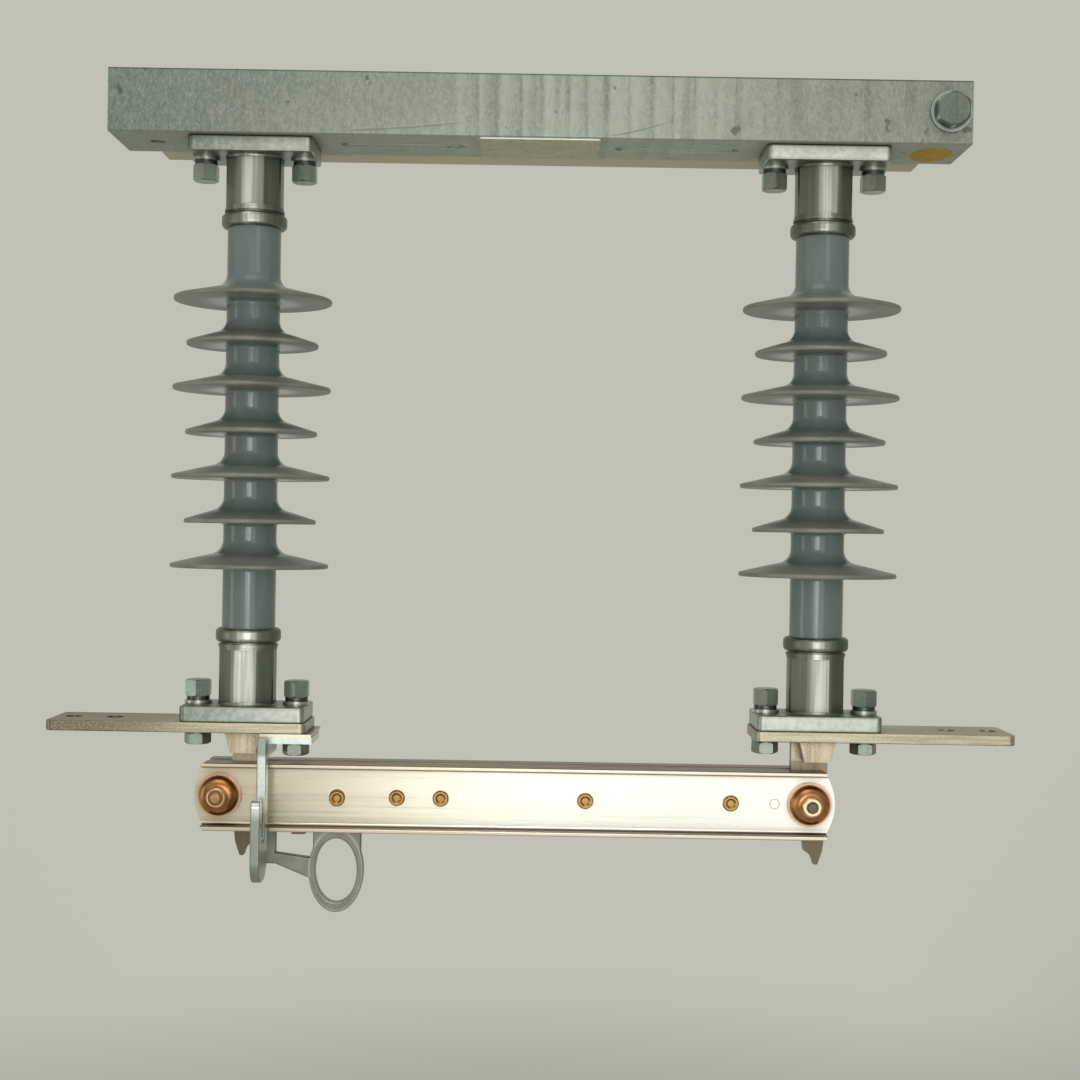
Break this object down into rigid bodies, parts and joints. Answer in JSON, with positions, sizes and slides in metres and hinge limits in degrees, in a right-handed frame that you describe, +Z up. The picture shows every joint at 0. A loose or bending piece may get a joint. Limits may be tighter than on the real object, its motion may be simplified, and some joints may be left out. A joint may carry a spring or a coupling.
{
  "type": "hook-stick disconnect switch",
  "caption": "Underhung outdoor disconnect switch: base channel, two post insulators, terminal bars and a hinged twin blade with a pull-ring latch lever.",
  "frame": {"origin": "centre of the mounting bar's flat back face, which goes against the wall or the post", "axes": "+Y to the back, out of the mounting bar's back face; +X right, along the base from the jaw to the hinge; +Z up"},
  "size_m": [0.738, 0.129, 0.6424],
  "materials": {
    "galvanised_steel": "hot-dip galvanised, dull with drip marks",
    "galvanised_bolt": "hot-dip galvanised, dull",
    "galvanised_hook": "galvanised, smooth",
    "zinc_fitting": "bright zinc, machined",
    "zinc_bolts": "dull zinc",
    "beige_paint": "old beige paint",
    "plain_plate": "bare, worn",
    "grey_rubber": "smooth silicone rubber, satin",
    "tinned_copper": "tinned, dull warm grey",
    "silvered_copper": "silvered, satin",
    "copper": "bare polished copper",
    "bronze": "polished bronze",
    "cast_grey": "cast, dull grey"
  },
  "bodies": {
    "fixed_frame": {"base_channel": "galvanised_steel", "rear_mounting_bar": "beige_paint", "mounting_bar_bolts": "zinc_bolts", "nameplate": "plain_plate", "earth_bolt": "galvanised_bolt", "upper_fitting_left": "zinc_fitting", "upper_fitting_right": "zinc_fitting", "insulator_housing_left": "grey_rubber", "insulator_housing_right": "grey_rubber", "lower_fitting_left": "zinc_fitting", "lower_fitting_right": "zinc_fitting", "upper_flange_bolts_left": "zinc_bolts", "upper_flange_bolts_right": "zinc_bolts", "lower_flange_bolts_left": "zinc_bolts", "lower_flange_bolts_right": "zinc_bolts", "terminal_bar_left": "tinned_copper", "terminal_bar_right": "tinned_copper", "contact_post_left": "tinned_copper", "contact_post_right": "tinned_copper", "contact_tongue_left": "tinned_copper", "contact_tongue_right": "tinned_copper", "jaw_pad": "tinned_copper", "guide_hook": "galvanised_hook"},
    "blade": {"blade_channel_front": "silvered_copper", "blade_channel_back": "silvered_copper", "hinge_bolt": "bronze", "jaw_bolt": "bronze", "hinge_cup_front": "copper", "hinge_cup_back": "copper", "jaw_cup_front": "copper", "jaw_cup_back": "copper", "blade_rivets": "bronze", "lever_pivot_pin": "bronze", "latch_stop": "tinned_copper"},
    "pull_ring": {"pull_ring_lever": "cast_grey"}
  },
  "joints": [
    {"name": "blade_hinge", "type": "hinge", "parent": "fixed_frame", "child": "blade", "pos_m": [0.216, -0.067, -0.52], "axis": [0, -1, 0], "range_deg": [0, 90]},
    {"name": "pull_ring_pivot", "type": "hinge", "parent": "blade", "child": "pull_ring", "pos_m": [-0.1482, -0.067, -0.521], "axis": [0, -1, 0], "range_deg": [0, 18], "stiffness_Nm_per_rad": 0.3, "springref_deg": -34.38}
  ]
}
